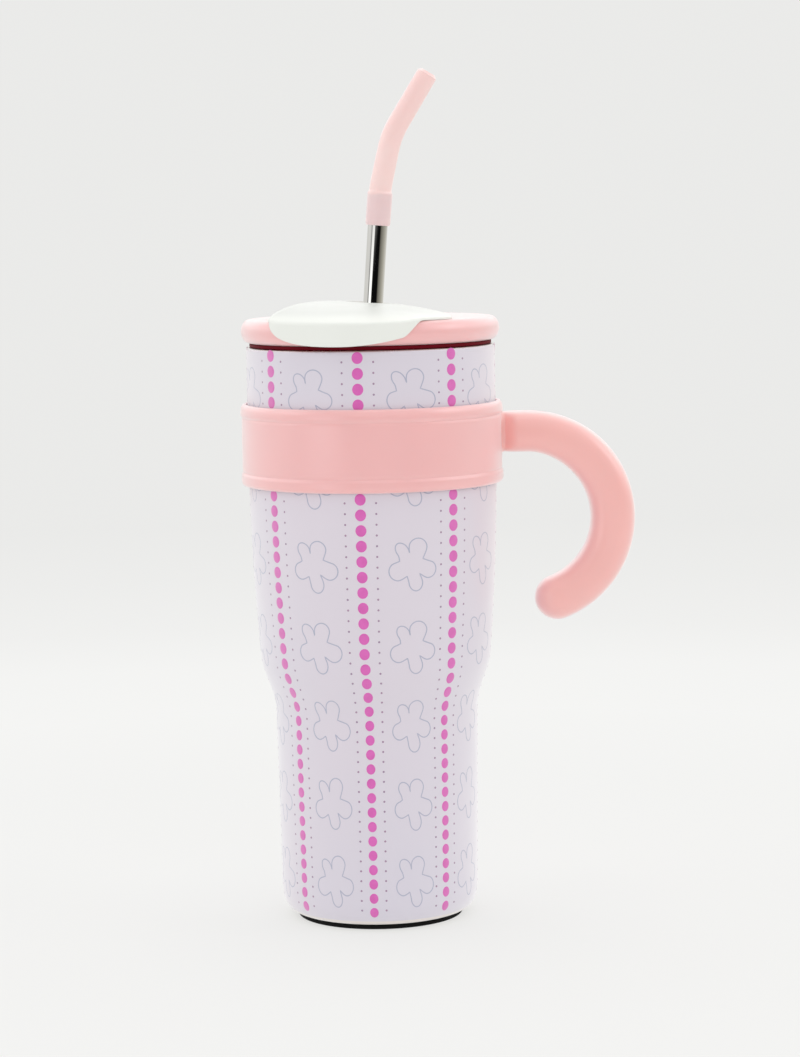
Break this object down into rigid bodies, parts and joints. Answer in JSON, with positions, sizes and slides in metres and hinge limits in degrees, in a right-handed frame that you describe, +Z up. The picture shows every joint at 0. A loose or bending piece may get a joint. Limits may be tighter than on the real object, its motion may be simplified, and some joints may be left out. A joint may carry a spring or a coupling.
{
  "type": "insulated tumbler with lid",
  "caption": "Tall stepped double-wall steel tumbler with a press-in lid, turning drink cover, leaning steel straw with bent silicone mouthpiece, and an open hook handle on a ring.",
  "frame": {"origin": "centre of the base pad's underside, on the cup's axis", "axes": "+Z up along the cup's axis, +X towards the hook handle, -Y towards the drink opening's side"},
  "size_m": [0.1587, 0.1065, 0.3426],
  "materials": {
    "printed_coat": "satin printed coat",
    "steel": "brushed",
    "polished_steel": "polished",
    "pink_plastic": "satin",
    "pink_soft_touch": "soft touch",
    "lid_inner_plastic": "satin",
    "white_plastic": "satin gloss",
    "pink_silicone": "matte, slightly translucent",
    "seal_silicone": "matte",
    "pad_rubber": "matte",
    "sealing_glass": "fused"
  },
  "bodies": {
    "cup": {"outer_shell": "printed_coat", "inner_liner": "steel", "outer_base": "steel", "vacuum_seal_bead": "sealing_glass", "getter": "steel", "base_pad": "pad_rubber"},
    "handle": {"handle_band": "pink_plastic", "handle_core": "lid_inner_plastic", "handle_grip": "pink_soft_touch", "handle_screw_upper": "steel", "handle_screw_lower": "steel"},
    "lid": {"lid_top": "pink_plastic", "lid_base": "lid_inner_plastic", "lid_seal": "seal_silicone", "straw_grommet": "pink_silicone", "cover_retainer": "steel"},
    "cover": {"rotating_cover": "white_plastic", "sip_plug": "pink_silicone"},
    "straw": {"straw_tube": "polished_steel"},
    "mouthpiece": {"straw_tip": "pink_silicone"}
  },
  "joints": [
    {"name": "lid_lift", "type": "slide", "parent": "cup", "child": "lid", "axis": [0, 0, 1], "range_m": [0, 0.25]},
    {"name": "handle_slide", "type": "slide", "parent": "cup", "child": "handle", "axis": [0, 0, -1], "range_m": [0, 0.225]},
    {"name": "cover_turn", "type": "hinge", "parent": "lid", "child": "cover", "pos_m": [0, 0, 0.2434], "axis": [0, 0, 1], "range_deg": [0, 100]},
    {"name": "straw_pull", "type": "slide", "parent": "lid", "child": "straw", "axis": [0.0778, 0, 0.997], "range_m": [0, 0.25]},
    {"name": "tip_turn", "type": "hinge", "parent": "straw", "child": "mouthpiece", "pos_m": [0.00388, 0, 0.2802], "axis": [0.0778, 0, 0.997], "continuous": true}
  ]
}
